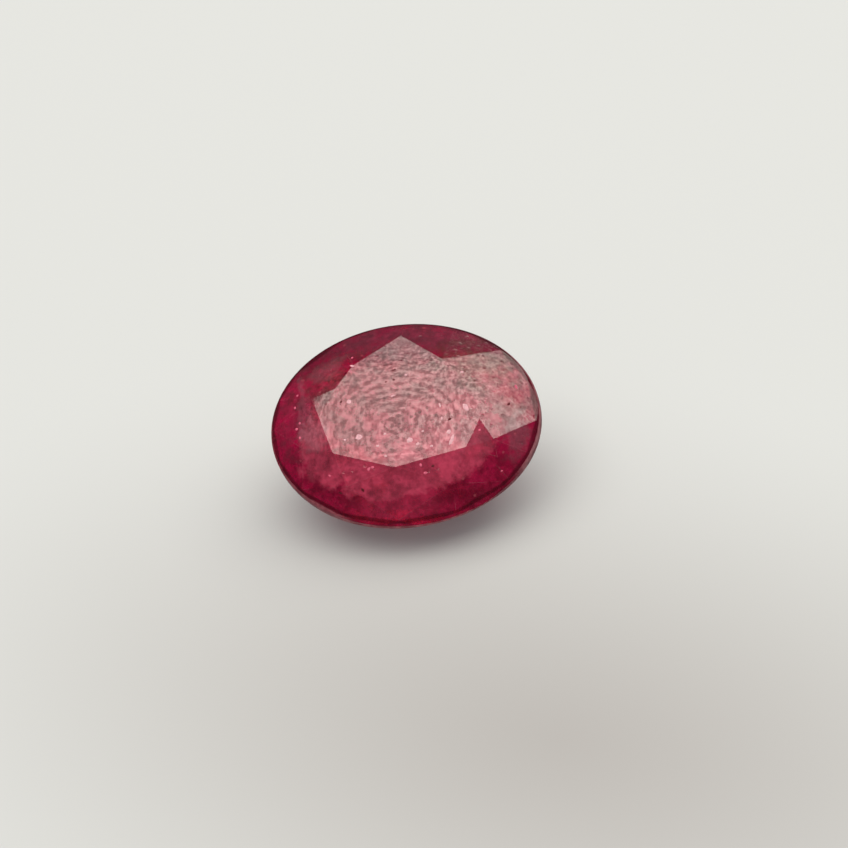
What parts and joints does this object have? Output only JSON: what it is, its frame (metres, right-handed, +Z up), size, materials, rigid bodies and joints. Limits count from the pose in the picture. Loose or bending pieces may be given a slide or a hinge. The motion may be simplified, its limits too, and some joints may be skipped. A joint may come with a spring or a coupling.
{
  "type": "oval faceted ruby gemstone",
  "caption": "Oval faceted ruby gemstone with a flat table, kite and star crown facets, a thin rounded girdle and a tiered pavilion, lying on a pavilion facet.",
  "frame": {"origin": "on the surface the stone lies on, under the middle of its bounding box", "axes": "+X along the stone's longest dimension, +Z up, the table leans toward -Y"},
  "size_m": [0.0098, 0.0072, 0.0052],
  "materials": {
    "oval_ruby": "polished facets, translucent and included"
  },
  "bodies": {
    "root": {"oval_ruby": "oval_ruby"}
  },
  "joints": []
}
